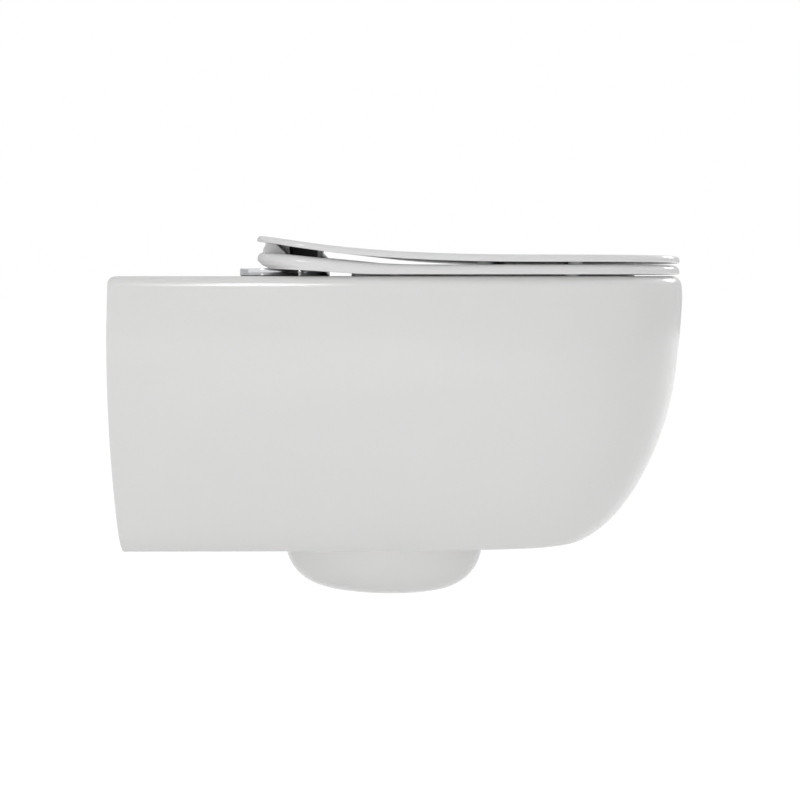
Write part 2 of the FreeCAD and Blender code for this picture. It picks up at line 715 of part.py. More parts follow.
def lid_lug(sign):
    """The lug beyond a hinge arm that the pin goes through."""
    inner = size("lid_lug_inner")
    outer = size("lid_lug_outer")
    radius = size("lid_lug_radius")
    axis = size("axis_from_wall")
    height = size("axis_height")
    root = height + size("lid_root")
    front = box(inner, outer, axis, axis + size("lid_lug_reach"), height - size("lid_lug_drop"),
                root, sign)
    rear = box(inner, outer, axis - radius, axis, height, root, sign)
    return along_x(radius, inner, outer, sign).fuse([front, rear])


def make_lid():
    """The lid: the slab, notched over the hinge arms, with its two lugs."""
    half = size("barrel_half_length")
    inner = size("lid_lug_inner")
    pin_hole = size("pin_radius") + size("running_gap")
    cuts = []
    for sign in (-1, 1):
        cuts.append(box(half, inner, size("lid_rear") - OVERRUN,
                        size("axis_from_wall") + size("lid_notch"), 0, 4 * OVERRUN, sign))
        cuts.append(along_x(pin_hole, inner - 1, size("lid_lug_outer") + 1, sign))
    lid = lid_slab().fuse([lid_lug(-1), lid_lug(1)]).cut(cuts)
    holes = buffer_holes(buffer_places(*LID_PLACES), size("stem_radius"), size("lid_under") - 1,
                         size("lid_under") + size("stem_length"))
    feature = doc.addObject("Part::Feature", "lid")
    feature.Shape = lid.cut(holes).removeSplitter()
    return keep(feature, "lid")


def make_lid_housing():
    """The barrel fixed under the lid's rear edge, which holds the cartridges."""
    half = size("barrel_half_length")
    radius = size("barrel_radius")
    axis = size("axis_from_wall")
    height = size("axis_height")
    root = box(-half, half, axis, axis + radius, height, height + size("lid_root"))
    housing = along_x(radius, -half, half, 1).fuse(root)
    cuts = [lid_slab()]
    for sign in (-1, 1):
        cuts.append(along_x(size("damper_radius"), half - size("damper_length"), half + 1, sign))
    feature = doc.addObject("Part::Feature", "lid_hinge_housing")
    feature.Shape = housing.cut(cuts).removeSplitter()
    return keep(feature, "lid_hinge_housing")


# ------------------------------------------------------------- small pieces

def at_height(sketch, expression):
    """Lift a sketch off its plane by a length from the sheet."""
    sketch.setExpression("AttachmentOffset.Base.z", expression)


def pad(body, sketch, length):
    """Grow a sketch into the body by a length from the sheet."""
    feature = body.newObject("PartDesign::Pad", "pad_" + sketch.Name)
    feature.Profile = sketch
    feature.setExpression("Length", length)
    return feature


def pocket(body, sketch):
    """Cut a sketch right through the body, both ways."""
    feature = body.newObject("PartDesign::Pocket", "pocket_" + sketch.Name)
    feature.Profile = sketch
    feature.Type = "ThroughAll"
    feature.Midplane = True
    return feature


def round_bar(body, plane, name, x, y, radius, start, length):
    """Add a round bar square to one of the body's planes."""
    sketch = new_sketch(body, plane, name)
    at_height(sketch, start)
    add_circle(sketch, x, y, radius)
    return pad(body, sketch, length)


def make_buffers(kind, places, foot, top):
    """The buffers of the seat or of the lid, each with its stem."""
    half = f"({top} - {foot})"
    profile = [("0", "0"), ("Sizes.buffer_radius - 0.8", "0"), ("Sizes.buffer_radius", "0.6"),
               ("Sizes.buffer_radius", half), ("Sizes.stem_radius", half),
               ("Sizes.stem_radius", f"{half} + Sizes.stem_length"),
               ("0", f"{half} + Sizes.stem_length")]
    for (inner, d), where in zip(places, ("front", "rear")):
        for side, sign in (("left", "-"), ("right", "")):
            turned(f"{kind}_buffer_{where}_{side}", profile, f"{sign}Sizes.{inner}",
                   f"-Sizes.{d}", f"Sizes.rim_height + {foot}")


def make_hinge(side, sign):
    """Everything of one hinge that stays on the pan, from the gasket up."""
    middle = (f"{sign}Sizes.hinge_spacing / 2", "-Sizes.hinge_from_wall", "Sizes.rim_height")
    gasket = "Sizes.gasket_thickness"
    base_top = "Sizes.gasket_thickness + Sizes.base_thickness"
    roof = "Sizes.disc_top - Sizes.disc_wall"
    inside = "Sizes.disc_radius - Sizes.disc_wall * 2"
    turned("hinge_gasket_" + side,
           tube("Sizes.deck_hole", "Sizes.disc_radius - 0.6", "0", gasket), *middle)
    base = turned("hinge_base_" + side,
                  tube("Sizes.bolt_radius", f"{inside} - 0.4", gasket, base_top), *middle)
    stud_x = f"{sign}(Sizes.arm_from_middle - Sizes.hinge_spacing / 2)"
    stud_y = "Sizes.hinge_from_wall - Sizes.axis_from_wall"
    round_bar(base, "XY_Plane", "stud_" + side, stud_x, stud_y, "Sizes.stud_radius", gasket,
              "Sizes.disc_top + Sizes.stud_rise - Sizes.gasket_thickness")
    cap = [("0", roof), (inside, roof), (inside, gasket), ("Sizes.disc_radius", gasket),
           ("Sizes.disc_radius", "Sizes.disc_top - Sizes.disc_round"),
           ("Sizes.disc_radius - Sizes.disc_round * 0.29",
            "Sizes.disc_top - Sizes.disc_round * 0.29"),
           ("Sizes.disc_radius - Sizes.disc_round", "Sizes.disc_top"), ("0", "Sizes.disc_top")]
    disc = turned("hinge_disc_" + side, cap, *middle)
    opening = new_sketch(disc, "XY_Plane", "stud_hole_" + side)
    add_circle(opening, stud_x, stud_y, "Sizes.stud_radius + Sizes.running_gap")
    pocket(disc, opening)
    shank_end = "-(Sizes.deck_thickness + Sizes.plug_length + Sizes.clamp_nut_height + 4)"
    bolt = [("0", shank_end), ("Sizes.bolt_radius", shank_end), ("Sizes.bolt_radius", base_top),
            ("Sizes.bolt_radius + 3", base_top), ("Sizes.bolt_radius + 3", f"{roof} - 0.1"),
            ("0", f"{roof} - 0.1")]
    turned("hinge_bolt_" + side, bolt, *middle)
    plug_end = "-(Sizes.deck_thickness + Sizes.plug_length)"
    plug = [("Sizes.bolt_radius", plug_end), ("Sizes.plug_radius", plug_end),
            ("Sizes.plug_radius", "-Sizes.deck_thickness"),
            ("Sizes.deck_hole", "-Sizes.deck_thickness"), ("Sizes.deck_hole", gasket),
            ("Sizes.bolt_radius", gasket)]
    turned("hinge_plug_" + side, plug, *middle)
    make_nut("hinge_nut_" + side, "Sizes.clamp_nut_half_flats", "Sizes.bolt_radius",
             "Sizes.clamp_nut_height", (middle[0], middle[1],
             "Sizes.rim_height - Sizes.deck_thickness - Sizes.plug_length - Sizes.clamp_nut_height"))


def make_nut(label, half_flats, bore, height, where, rotation=None):
    """A hexagon nut that stands on its own origin."""
    body = doc.addObject("PartDesign::Body", label)
    sketch = new_sketch(body, "XY_Plane", "outline_" + label)
    add_hexagon(sketch, half_flats)
    add_circle(sketch, "0", "0", bore)
    pad(body, sketch, height)
    place(body, *where, rotation)
    return keep(body, label)


def make_arm(side, sign):
    """The hinge arm: a post on the disc with a knuckle across its top."""
    label = "hinge_arm_" + side
    body = doc.addObject("PartDesign::Body", label)
    rise = "Sizes.axis_height - Sizes.disc_top"
    round_bar(body, "XY_Plane", "post_" + side, "0", "0", "Sizes.arm_radius", "0", rise)
    start = "Sizes.knuckle_inner - Sizes.arm_from_middle"
    width = "Sizes.knuckle_outer - Sizes.knuckle_inner"
    round_bar(body, "YZ_Plane", "knuckle_" + side, "0", rise, "Sizes.knuckle_radius", start, width)
    bore = new_sketch(body, "YZ_Plane", "bore_" + side)
    add_circle(bore, "0", rise, "Sizes.pin_radius")
    pocket(body, bore)
    socket = new_sketch(body, "XY_Plane", "socket_" + side)
    add_circle(socket, "0", "0", "Sizes.stud_radius + Sizes.running_gap")
    hole = body.newObject("PartDesign::Pocket", "socket_cut_" + side)
    hole.Profile = socket
    hole.Reversed = True
    hole.setExpression("Length", "Sizes.stud_rise + 0.3")
    turn_round = FreeCAD.Rotation(Z_AXIS, 0 if sign == "" else 180)
    place(body, f"{sign}Sizes.arm_from_middle", "-Sizes.axis_from_wall",
          "Sizes.rim_height + Sizes.disc_top", turn_round)
    return keep(body, label)


def on_axis(label, profile, sign, start):
    """A turned piece that lies on the hinge axis, from a distance outwards."""
    rotation = FreeCAD.Rotation(Y_AXIS, 90 if sign == "" else -90)
    return turned(label, profile, f"{sign}({start})", "-Sizes.axis_from_wall",
                  "Sizes.rim_height + Sizes.axis_height", rotation)


def make_axis_pieces(side, sign, lid_piece, seat_piece):
    """The hinge pin and the two cartridges that turn on it."""
    length = "(Sizes.pin_outer - Sizes.pin_inner)"
    pin = [("0", "0"), ("Sizes.pin_radius - 0.5", "0"), ("Sizes.pin_radius", "0.5"),
           ("Sizes.pin_radius", f"{length} - 0.5"), ("Sizes.pin_radius - 0.5", length),
           ("0", length)]
    on_axis("hinge_pin_" + side, pin, sign, "Sizes.pin_inner")
    bore = "Sizes.pin_radius + Sizes.running_gap"
    on_axis(f"{lid_piece}_{side}",
            tube(bore, "Sizes.damper_radius", "0", "Sizes.damper_length - 0.1"), sign,
            "Sizes.barrel_half_length - Sizes.damper_length")
    on_axis(f"{seat_piece}_{side}",
            tube(bore, "Sizes.damper_radius", "0", "Sizes.lug_outer - Sizes.lug_end - Sizes.lug_inner - 0.3"),
            sign, "Sizes.lug_inner + 0.3")


def make_wall_fixing(side, sign):
    """The sleeve, washer and nut that hold the pan on one wall stud."""
    towards_room = FreeCAD.Rotation(X_AXIS, 90)
    web = "Sizes.web_thickness"
    flange = "Sizes.web_thickness + Sizes.flange_thickness"
    sleeve = [("Sizes.stud_hole", "0"), ("Sizes.fixing_hole", "0"), ("Sizes.fixing_hole", web),
              ("Sizes.sleeve_flange", web), ("Sizes.sleeve_flange", flange),
              ("Sizes.stud_hole", flange)]
    x = f"{sign}Sizes.fixing_spacing / 2"
    turned("fixing_sleeve_" + side, sleeve, x, "0", "0", towards_room)
    washer_top = flange + " + Sizes.washer_thickness"
    turned("fixing_washer_" + side,
           tube("Sizes.stud_hole", "Sizes.sleeve_flange - 2", flange, washer_top), x, "0", "0",
           towards_room)
    make_nut("fixing_nut_" + side, "Sizes.nut_half_flats", "Sizes.nut_bore", "Sizes.nut_height",
             (x, f"-({washer_top})", "0"), towards_room)


# -------------------------------------------------------------------- build

make_pan()
make_seat_ring()
make_lid()
make_lid_housing()
make_buffers("seat", SEAT_PLACES, "Sizes.rest_gap", "Sizes.seat_gap")
make_buffers("lid", LID_PLACES, "(Sizes.seat_top + Sizes.rest_gap)", "Sizes.lid_under")
for side, sign in (("left", "-"), ("right", "")):
    make_hinge(side, sign)
    make_arm(side, sign)
    make_wall_fixing(side, sign)
make_axis_pieces("left", "-", "lid_bush", "seat_damper")
make_axis_pieces("right", "", "lid_damper", "seat_bush")
doc.recompute()

for item in doc.Objects:
    if {"Invalid", "Error"} & set(item.State):
        raise RuntimeError(f"{item.Name} did not build: {item.State}")
for node in nodes:
    shape = node.Shape
    if shape.isNull() or not shape.isValid() or len(shape.Solids) != 1:
        raise RuntimeError(f"{node.Label} is not one sound solid")

os.makedirs("parts", exist_ok=True)
for node in nodes:
    node.Shape.exportStep(f"parts/{node.Label}.step")
    print(f"{node.Label}: {node.Shape.Volume / 1000:.2f} cm3")
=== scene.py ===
import json
import math

import bmesh
import bpy
from mathutils import Matrix, Vector

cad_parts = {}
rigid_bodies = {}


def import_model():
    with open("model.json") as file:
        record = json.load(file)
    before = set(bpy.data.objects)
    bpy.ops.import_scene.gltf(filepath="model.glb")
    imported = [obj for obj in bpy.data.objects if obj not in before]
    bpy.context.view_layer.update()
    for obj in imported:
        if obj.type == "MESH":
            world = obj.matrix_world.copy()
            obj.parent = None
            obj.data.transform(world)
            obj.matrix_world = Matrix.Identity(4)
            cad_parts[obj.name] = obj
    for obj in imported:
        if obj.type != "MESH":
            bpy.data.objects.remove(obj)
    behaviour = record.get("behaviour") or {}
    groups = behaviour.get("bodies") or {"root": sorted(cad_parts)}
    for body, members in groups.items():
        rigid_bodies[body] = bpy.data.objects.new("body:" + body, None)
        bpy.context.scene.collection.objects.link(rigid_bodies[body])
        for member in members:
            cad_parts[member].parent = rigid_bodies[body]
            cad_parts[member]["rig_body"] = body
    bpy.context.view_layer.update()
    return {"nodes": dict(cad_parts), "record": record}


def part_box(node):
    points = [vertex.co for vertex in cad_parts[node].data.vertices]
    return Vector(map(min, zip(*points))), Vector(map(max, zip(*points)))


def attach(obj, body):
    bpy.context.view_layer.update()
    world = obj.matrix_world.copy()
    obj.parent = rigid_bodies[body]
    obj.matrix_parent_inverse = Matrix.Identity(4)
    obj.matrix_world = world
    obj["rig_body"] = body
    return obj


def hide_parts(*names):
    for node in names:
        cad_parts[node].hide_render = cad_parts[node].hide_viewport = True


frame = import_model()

# A wall-hung toilet: glazed pan, slim seat and lid, chrome hinges, and the
# fixings behind.  Metres.  The wall is the plane Y = 0, the front of the pan
# points to -Y and Z is up.

bl_info = {
    "name": "Wall Hung Toilet",
    "version": (1, 0, 0),
    "blender": (4, 5, 0),
    "location": "View3D > Sidebar > Toilet",
    "description": "Dresses the toilet's solids with glaze, plastic, chrome and rubber",
    "category": "Object",
}

MM = 0.001
# Points nearer than WELD are one point, and a point within TOUCH lies on a face.
WELD = 1e-7
TOUCH = 1e-5
SIDES = ("left", "right")
NODES = frame["nodes"]
SLOT_OF = {row["node"]: row["material_slot"] for row in frame["record"]["subparts"]}


def linear(text):
    """The linear colour of an sRGB hex value such as #EDEDEB."""
    levels = [int(text[i:i + 2], 16) / 255 for i in (1, 3, 5)]
    return [v / 12.92 if v <= 0.04045 else ((v + 0.055) / 1.055) ** 2.4 for v in levels]


# ------------------------------------------------------------------ settings

def colour(name, description, text):
    """A colour that a user can change, given by its sRGB hex value."""
    return bpy.props.FloatVectorProperty(name=name, description=description, subtype="COLOR",
                                         size=3, min=0, max=1, default=linear(text))


def length(name, description, millimetres):
    """A length that a user can change, given in millimetres."""
    return bpy.props.FloatProperty(name=name, description=description, min=0, unit="LENGTH",
                                   precision=5, default=millimetres * MM)


def share(name, description, amount):
    """A strength that a user can change, 1 being white."""
    return bpy.props.FloatProperty(name=name, description=description, min=0, default=amount)


def power(name, description, watts):
    """A lamp's power that a user can change."""
    return bpy.props.FloatProperty(name=name, description=description, min=0,
                                   subtype="POWER", default=watts)


class ToiletFinishes(bpy.types.PropertyGroup):
    glaze: colour("Glaze", "Colour of the pan's glaze", "#E9E9E8")
    bare_china: colour("Bare china", "Colour of the ground wall face", "#DAD6CC")
    seat: colour("Seat plastic", "Colour of the seat and lid", "#E9E9E9")
    chrome: colour("Chrome", "Colour of the hinge discs and arms", "#DCDDDF")
    steel: colour("Stainless steel", "Colour of bolts, nuts and washers", "#B9BBBD")
    brass: colour("Brass", "Colour of the clamping nuts", "#C8A566")
    buffer: colour("Buffer", "Colour of the soft buffers", "#DADAD6")
    rubber: colour("Seal rubber", "Colour of the gaskets and plugs", "#232324")
    nylon: colour("Nylon", "Colour of the sleeves and bushes", "#E2E2DD")
    # the housing's near black is partly its own dark plastic and partly painted shade for the slot
    # between lid and seat
    housing: colour("Housing", "Colour of the hinge housing and cartridges", "#101112")


class ToiletSizes(bpy.types.PropertyGroup):
    ripple: length("Glaze ripple", "Distance between the faint waves in the glaze", 14)
    disc_round: length("Disc rounding", "Rounding of the hinge discs' upper edge", 1.4)
    arm_round: length("Arm rounding", "Rounding of the hinge arms' ends", 0.9)
    buffer_round: length("Buffer rounding", "Rounding of the buffers' feet", 0.7)
    hinge_pitch: length("Hinge thread", "Pitch of the hinge bolts' M8 thread", 1.25)
    stud_pitch: length("Stud thread", "Pitch of the M12 thread in the wall nuts", 1.75)


class ToiletStage(bpy.types.PropertyGroup):
    floor_drop: length("Floor drop", "Floor below the wall fixings", 320)
    floor: colour("Floor", "Colour of the studio floor", "#F2F2F2")
    around: share("Even light", "Light that comes evenly from all round", 0.5)
    horizon: share("Horizon", "Brightness of the grey flags that the gloss mirrors", 0.6)
    overhead: power("Overhead fill", "Broad soft lamp over the toilet", 3.5)
    key: power("Key lamp", "Strip lamp that draws the line along the deck's edge", 5.5)
    side: power("Side lamp", "Broad soft lamp on the side that the camera sees", 8.1)
    front: power("Front lamp", "Soft lamp beyond the front of the pan", 20)
    glint: power("Front glint", "Small lamp that the rim's front corner mirrors", 5)
    low: power("Low fill", "Soft lamp near the floor that lifts the underside", 4.8)
    lens: bpy.props.FloatProperty(name="Lens", min=1, default=50, subtype="DISTANCE_CAMERA",
                                  description="Focal length of the camera")


# ----------------------------------------------------------------- materials

def add(tree, kind, links=None, **settings):
    """Add a node: settings are its properties, links its sockets' values or sources."""
    made = tree.nodes.new(kind)
    for name, value in settings.items():
        setattr(made, name, value)
    for name, value in (links or {}).items():
        if isinstance(value, bpy.types.NodeSocket):
            tree.links.new(value, made.inputs[name])
        else:
            made.inputs[name].default_value = value
    return made


def new_material(name):
    """An empty node material, and where on the object each point of it lies."""
    material = bpy.data.materials.new(name)
    material.use_nodes = True
    material.node_tree.nodes.clear()
    tree = material.node_tree
    return material, tree, add(tree, "ShaderNodeTexCoord").outputs["Object"]


def per_metre(millimetres):
    """The texture scale at which one feature is this long."""
    return 1 / (millimetres * MM)


# A Mix node names all its sockets alike, so they are given by their places.
FACTOR = 0
NUMBER_A = 2
NUMBER_B = 3
COLOUR_A = 6
COLOUR_B = 7
MIXED_NUMBER = 0
MIXED_COLOUR = 2


def finish_surface(tree, sockets):
    """Close a material with a Principled shader that has these values and sources."""
    shader = add(tree, "ShaderNodeBsdfPrincipled", sockets)
    add(tree, "ShaderNodeOutputMaterial", {"Surface": shader.outputs["BSDF"]})


def toned(value, keep=1.0):
    """A colour that keeps this share of its light, with its alpha."""
    return [part * keep for part in value] + [1]


def vitreous_china(finishes, sizes):
    """Slip-cast vitreous china under a fired white glaze.

    The glaze is glassy: a sharp, faintly rippled reflection over a body that
    is a touch uneven in tone.  The face against the wall is ground flat after
    firing and has no glaze, so it is dull, cream and gritty.
    """
    material, tree, where = new_material("vitreous_china")
    tone = add(tree, "ShaderNodeTexNoise", {"Vector": where, "Scale": per_metre(90), "Detail": 2})
    glaze = add(tree, "ShaderNodeMix", {FACTOR: tone.outputs["Fac"],
                COLOUR_A: toned(finishes.glaze, 0.985), COLOUR_B: toned(finishes.glaze)},
                data_type="RGBA")
    # bare where it lies within 0.4 mm of the wall and faces it
    split = add(tree, "ShaderNodeSeparateXYZ", {"Vector": where})
    at_wall = add(tree, "ShaderNodeMapRange", {"Value": split.outputs["Y"],
                  "From Min": -0.4 * MM, "From Max": -0.1 * MM}, clamp=True)
    face = add(tree, "ShaderNodeNewGeometry")
    facing = add(tree, "ShaderNodeSeparateXYZ", {"Vector": face.outputs["Normal"]})
    backward = add(tree, "ShaderNodeMapRange", {"Value": facing.outputs["Y"],
                   "From Min": 0.7, "From Max": 0.9}, clamp=True)
    bare = add(tree, "ShaderNodeMath", {0: at_wall.outputs["Result"],
               1: backward.outputs["Result"]}, operation="MULTIPLY")
    base = add(tree, "ShaderNodeMix", {FACTOR: bare.outputs[0],
               COLOUR_A: glaze.outputs[MIXED_COLOUR], COLOUR_B: toned(finishes.bare_china)},
               data_type="RGBA")
    gloss = add(tree, "ShaderNodeMapRange", {"Value": tone.outputs["Fac"], "To Min": 0.15,
                "To Max": 0.21})
    rough = add(tree, "ShaderNodeMix", {FACTOR: bare.outputs[0],
                NUMBER_A: gloss.outputs["Result"], NUMBER_B: 0.85}, data_type="FLOAT")
    ripple = add(tree, "ShaderNodeTexNoise", {"Vector": where,
                 "Scale": per_metre(sizes.ripple / MM), "Detail": 1})
    waves = add(tree, "ShaderNodeBump", {"Height": ripple.outputs["Fac"], "Strength": 0.12,
                "Distance": 0.1 * MM})
    grit = add(tree, "ShaderNodeTexNoise", {"Vector": where, "Scale": per_metre(0.9), "Detail": 3})
    ground = add(tree, "ShaderNodeMath", {0: grit.outputs["Fac"], 1: bare.outputs[0]},
                 operation="MULTIPLY")
    normal = add(tree, "ShaderNodeBump", {"Height": ground.outputs[0], "Strength": 0.4,
                 "Distance": 0.2 * MM, "Normal": waves.outputs["Normal"]})
    finish_surface(tree, {"Base Color": base.outputs[MIXED_COLOUR], "IOR": 1.52,
                          "Roughness": rough.outputs[MIXED_NUMBER],
                          "Normal": normal.outputs["Normal"]})
    return material


def polished_thermoset(finishes):
    """Urea thermoset, pressed in a hot tool and polished.

    It is a little softer in its reflections than the glaze, with a trace of
    the polishing left as fine uneven gloss.
    """
    material, tree, where = new_material("polished_thermoset")
    cloud = add(tree, "ShaderNodeTexNoise", {"Vector": where, "Scale": per_metre(60), "Detail": 2})
    base = add(tree, "ShaderNodeMix", {FACTOR: cloud.outputs["Fac"],
               COLOUR_A: toned(finishes.seat, 0.985), COLOUR_B: toned(finishes.seat)},
               data_type="RGBA")
    polish = add(tree, "ShaderNodeTexNoise", {"Vector": where, "Scale": per_metre(4), "Detail": 3})
    rough = add(tree, "ShaderNodeMapRange", {"Value": polish.outputs["Fac"], "To Min": 0.10,
                "To Max": 0.17})
    skin = add(tree, "ShaderNodeBump", {"Height": polish.outputs["Fac"], "Strength": 0.05,
               "Distance": 0.05 * MM})
    finish_surface(tree, {"Base Color": base.outputs[MIXED_COLOUR], "IOR": 1.5,
                          "Roughness": rough.outputs["Result"],
                          "Normal": skin.outputs["Normal"]})
    return material


def chrome_plate(finishes):
    """Chromium plate over die-cast zinc.

    A clean mirror with the faintest haze where fingers and cloths have been.
    """
    material, tree, where = new_material("chrome_plate")
    haze = add(tree, "ShaderNodeTexNoise", {"Vector": where, "Scale": per_metre(11), "Detail": 4})
    base = add(tree, "ShaderNodeMix", {FACTOR: haze.outputs["Fac"],
               COLOUR_A: toned(finishes.chrome, 0.96), COLOUR_B: toned(finishes.chrome)},
               data_type="RGBA")
    rough = add(tree, "ShaderNodeMapRange", {"Value": haze.outputs["Fac"], "To Min": 0.05,
                "To Max": 0.12})
    casting = add(tree, "ShaderNodeBump", {"Height": haze.outputs["Fac"], "Strength": 0.04,
                  "Distance": 0.1 * MM})
    finish_surface(tree, {"Base Color": base.outputs[MIXED_COLOUR], "Metallic": 1.0,
                          "Roughness": rough.outputs["Result"],
                          "Normal": casting.outputs["Normal"]})
    return material


def turned_steel(finishes):
    """Stainless steel, turned and pressed: grey, satin, with fine tool marks.

    Real tool marks are 0.1 mm apart; they are drawn 2 mm apart so that they
    show.
    """
    material, tree, where = new_material("turned_steel")
    # a wave texture has 20 / tau rings for each unit of its scale
    rings = per_metre(2) * math.tau / 20
    marks = add(tree, "ShaderNodeTexWave", {"Vector": where, "Scale": rings, "Distortion": 3.0,
                "Detail": 2, "Detail Scale": 1.5}, wave_type="RINGS", rings_direction="SPHERICAL")
    base = add(tree, "ShaderNodeMix", {FACTOR: marks.outputs["Fac"],
               COLOUR_A: toned(finishes.steel, 0.88), COLOUR_B: toned(finishes.steel)},
               data_type="RGBA")
    rough = add(tree, "ShaderNodeMapRange", {"Value": marks.outputs["Fac"], "To Min": 0.24,
                "To Max": 0.38})
    cut = add(tree, "ShaderNodeBump", {"Height": marks.outputs["Fac"], "Strength": 0.15,
              "Distance": 0.03 * MM})
    finish_surface(tree, {"Base Color": base.outputs[MIXED_COLOUR], "Metallic": 1.0,
                          "Roughness": rough.outputs["Result"],
                          "Normal": cut.outputs["Normal"]})
    return material


def milled_brass(finishes):
    """Free-cutting brass, bar-milled: warm and bright, a little tarnished."""
    material, tree, where = new_material("milled_brass")
    tarnish = add(tree, "ShaderNodeTexNoise", {"Vector": where, "Scale": per_metre(3), "Detail": 4})
    base = add(tree, "ShaderNodeMix", {FACTOR: tarnish.outputs["Fac"],
               COLOUR_A: toned(finishes.brass, 0.72), COLOUR_B: toned(finishes.brass)},
               data_type="RGBA")
    rough = add(tree, "ShaderNodeMapRange", {"Value": tarnish.outputs["Fac"], "To Min": 0.22,
                "To Max": 0.4})
    finish_surface(tree, {"Base Color": base.outputs[MIXED_COLOUR], "Metallic": 1.0,
                          "Roughness": rough.outputs["Result"]})
    return material


def moulding(name, shade, roughness, grain, ior, through=0.0, gloss=0.5):
    """A moulded soft or matt plastic with an even, fine grain.

    grain is in millimetres; through is how much light goes into it, and gloss
    how strongly it mirrors, 0.5 being as its IOR alone would have it.
    """
    material, tree, where = new_material(name)
    speck = add(tree, "ShaderNodeTexNoise", {"Vector": where, "Scale": per_metre(grain),
                "Detail": 3})
    base = add(tree, "ShaderNodeMix", {FACTOR: speck.outputs["Fac"],
               COLOUR_A: toned(shade, 0.94), COLOUR_B: toned(shade)}, data_type="RGBA")
    rough = add(tree, "ShaderNodeMapRange", {"Value": speck.outputs["Fac"],
                "To Min": roughness - 0.06, "To Max": roughness + 0.06})
    skin = add(tree, "ShaderNodeBump", {"Height": speck.outputs["Fac"], "Strength": 0.2,
               "Distance": 0.03 * MM})
    finish_surface(tree, {"Base Color": base.outputs[MIXED_COLOUR], "IOR": ior,
                          "Roughness": rough.outputs["Result"], "Specular IOR Level": gloss,
                          "Subsurface Weight": through, "Subsurface Scale": 2 * MM,
                          "Normal": skin.outputs["Normal"]})
    return material


MADE = {}


def material_for(slot):
    """The finished material of one of the record's slots, made when first asked for."""
    finishes = bpy.context.scene.toilet_finishes
    makers = {
        "ceramic": lambda: vitreous_china(finishes, bpy.context.scene.toilet_sizes),
        "seat_plastic": lambda: polished_thermoset(finishes),
        "chrome": lambda: chrome_plate(finishes),
        "steel": lambda: turned_steel(finishes),
        "brass": lambda: milled_brass(finishes),
        # translucent soft elastomer: milky, light goes a little way in
        "buffer_rubber": lambda: moulding("milky_elastomer", finishes.buffer, roughness=0.42,
                                          grain=0.8, ior=1.45, through=0.35),
        # black EPDM: matt and slightly dusty
        "seal_rubber": lambda: moulding("black_epdm", finishes.rubber, roughness=0.68,
                                        grain=0.6, ior=1.52),
        # injection-moulded polyamide: waxy white, satin
        "white_nylon": lambda: moulding("white_polyamide", finishes.nylon, roughness=0.45,
                                        grain=1.0, ior=1.53, through=0.15),
        # glass-filled acetal, spark-textured in its tool: near black and dull; the near black is
        # partly its own colour and partly painted shade for the slot between lid and seat
        "damper_plastic": lambda: moulding("acetal_and_painted_shade", finishes.housing, roughness=0.6,
                                           grain=0.7, ior=1.48, gloss=0.12),
    }
    if slot not in MADE:
        MADE[slot] = makers[slot]()
    return MADE[slot]


# -------------------------------------------------------------------- pieces

def carry_over(node):
    """Give a solid that keeps its own shape its finished material."""
    slots = NODES[node].material_slots
    slots[0].material = material_for(SLOT_OF[node])


def middle_of(node):
    """The middle of a solid's box."""
    low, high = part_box(node)
    return (low + high) / 2


def size_of(node):
    """The three lengths of a solid's box."""
    low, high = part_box(node)
    return high - low


def upright(node):
    """Where a piece made about its own axis goes: its foot at the solid's lowest level."""
    return Matrix.Translation(middle_of(node) - Vector((0, 0, size_of(node).z / 2)))


def out_of_wall(node):
    """Where a piece made about its own axis goes: its foot nearest the wall."""
    foot = middle_of(node) + Vector((0, size_of(node).y / 2, 0))
    return Matrix.Translation(foot) @ Matrix.Rotation(math.radians(90), 4, "X")


def turned(profile, steps=72, closed=False):
    """A piece turned about its own Z axis from (radius, height) corners."""
    bm = bmesh.new()
    verts = [bm.verts.new((radius, 0, height)) for radius, height in profile]
    pairs = list(zip(verts, verts[1:]))
    if closed:
        pairs.append((verts[-1], verts[0]))
    edges = [bm.edges.new(pair) for pair in pairs]
    bmesh.ops.spin(bm, geom=verts + edges, cent=(0, 0, 0), axis=(0, 0, 1), angle=math.tau,
                   steps=steps, use_merge=True)
    bmesh.ops.remove_doubles(bm, verts=bm.verts, dist=WELD)
    bmesh.ops.recalc_face_normals(bm, faces=bm.faces)
    return bm


def soften(bm, radius, segments, sharper=30, only=lambda edge: True):
    """Round the edges that turn by more than an angle, given in degrees."""
    edges = [edge for edge in bm.edges
             if edge.calc_face_angle(0) > math.radians(sharper) and only(edge)]
    bmesh.ops.bevel(bm, geom=edges, offset=radius, offset_type="OFFSET", segments=segments,
                    profile=0.5, affect="EDGES", material=-1, clamp_overlap=True)


def put(bm, matrix):
    """Move a piece made about its own axis to where it belongs."""
    bmesh.ops.transform(bm, matrix=matrix, verts=bm.verts)


def stand_for(bm, name, node, sharp=35):
    """Make the shape a piece that stands for a solid, and moves and looks like it."""
    for face in bm.faces:
        face.smooth = True
    for edge in bm.edges:
        edge.smooth = edge.calc_face_angle(0) < math.radians(sharp)
    mesh = bpy.data.meshes.new(name)
    bm.to_mesh(mesh)
    bm.free()
    mesh.materials.append(material_for(SLOT_OF[node]))
    made = bpy.data.objects.new(name, mesh)
    bpy.context.scene.collection.objects.link(made)
    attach(made, NODES[node]["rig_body"])
    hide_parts(node)


def thread(radius, depth, low, high, pitch):
    """The corners of a threaded stretch, as rings one pitch apart."""
    turns = max(1, round((high - low) / pitch))
    step = (high - low) / turns
    corners = [(radius - depth, low)]
    for i in range(turns):
        corners.append((radius, low + (i + 0.5) * step))
        corners.append((radius - depth, low + (i + 1) * step))
    return corners


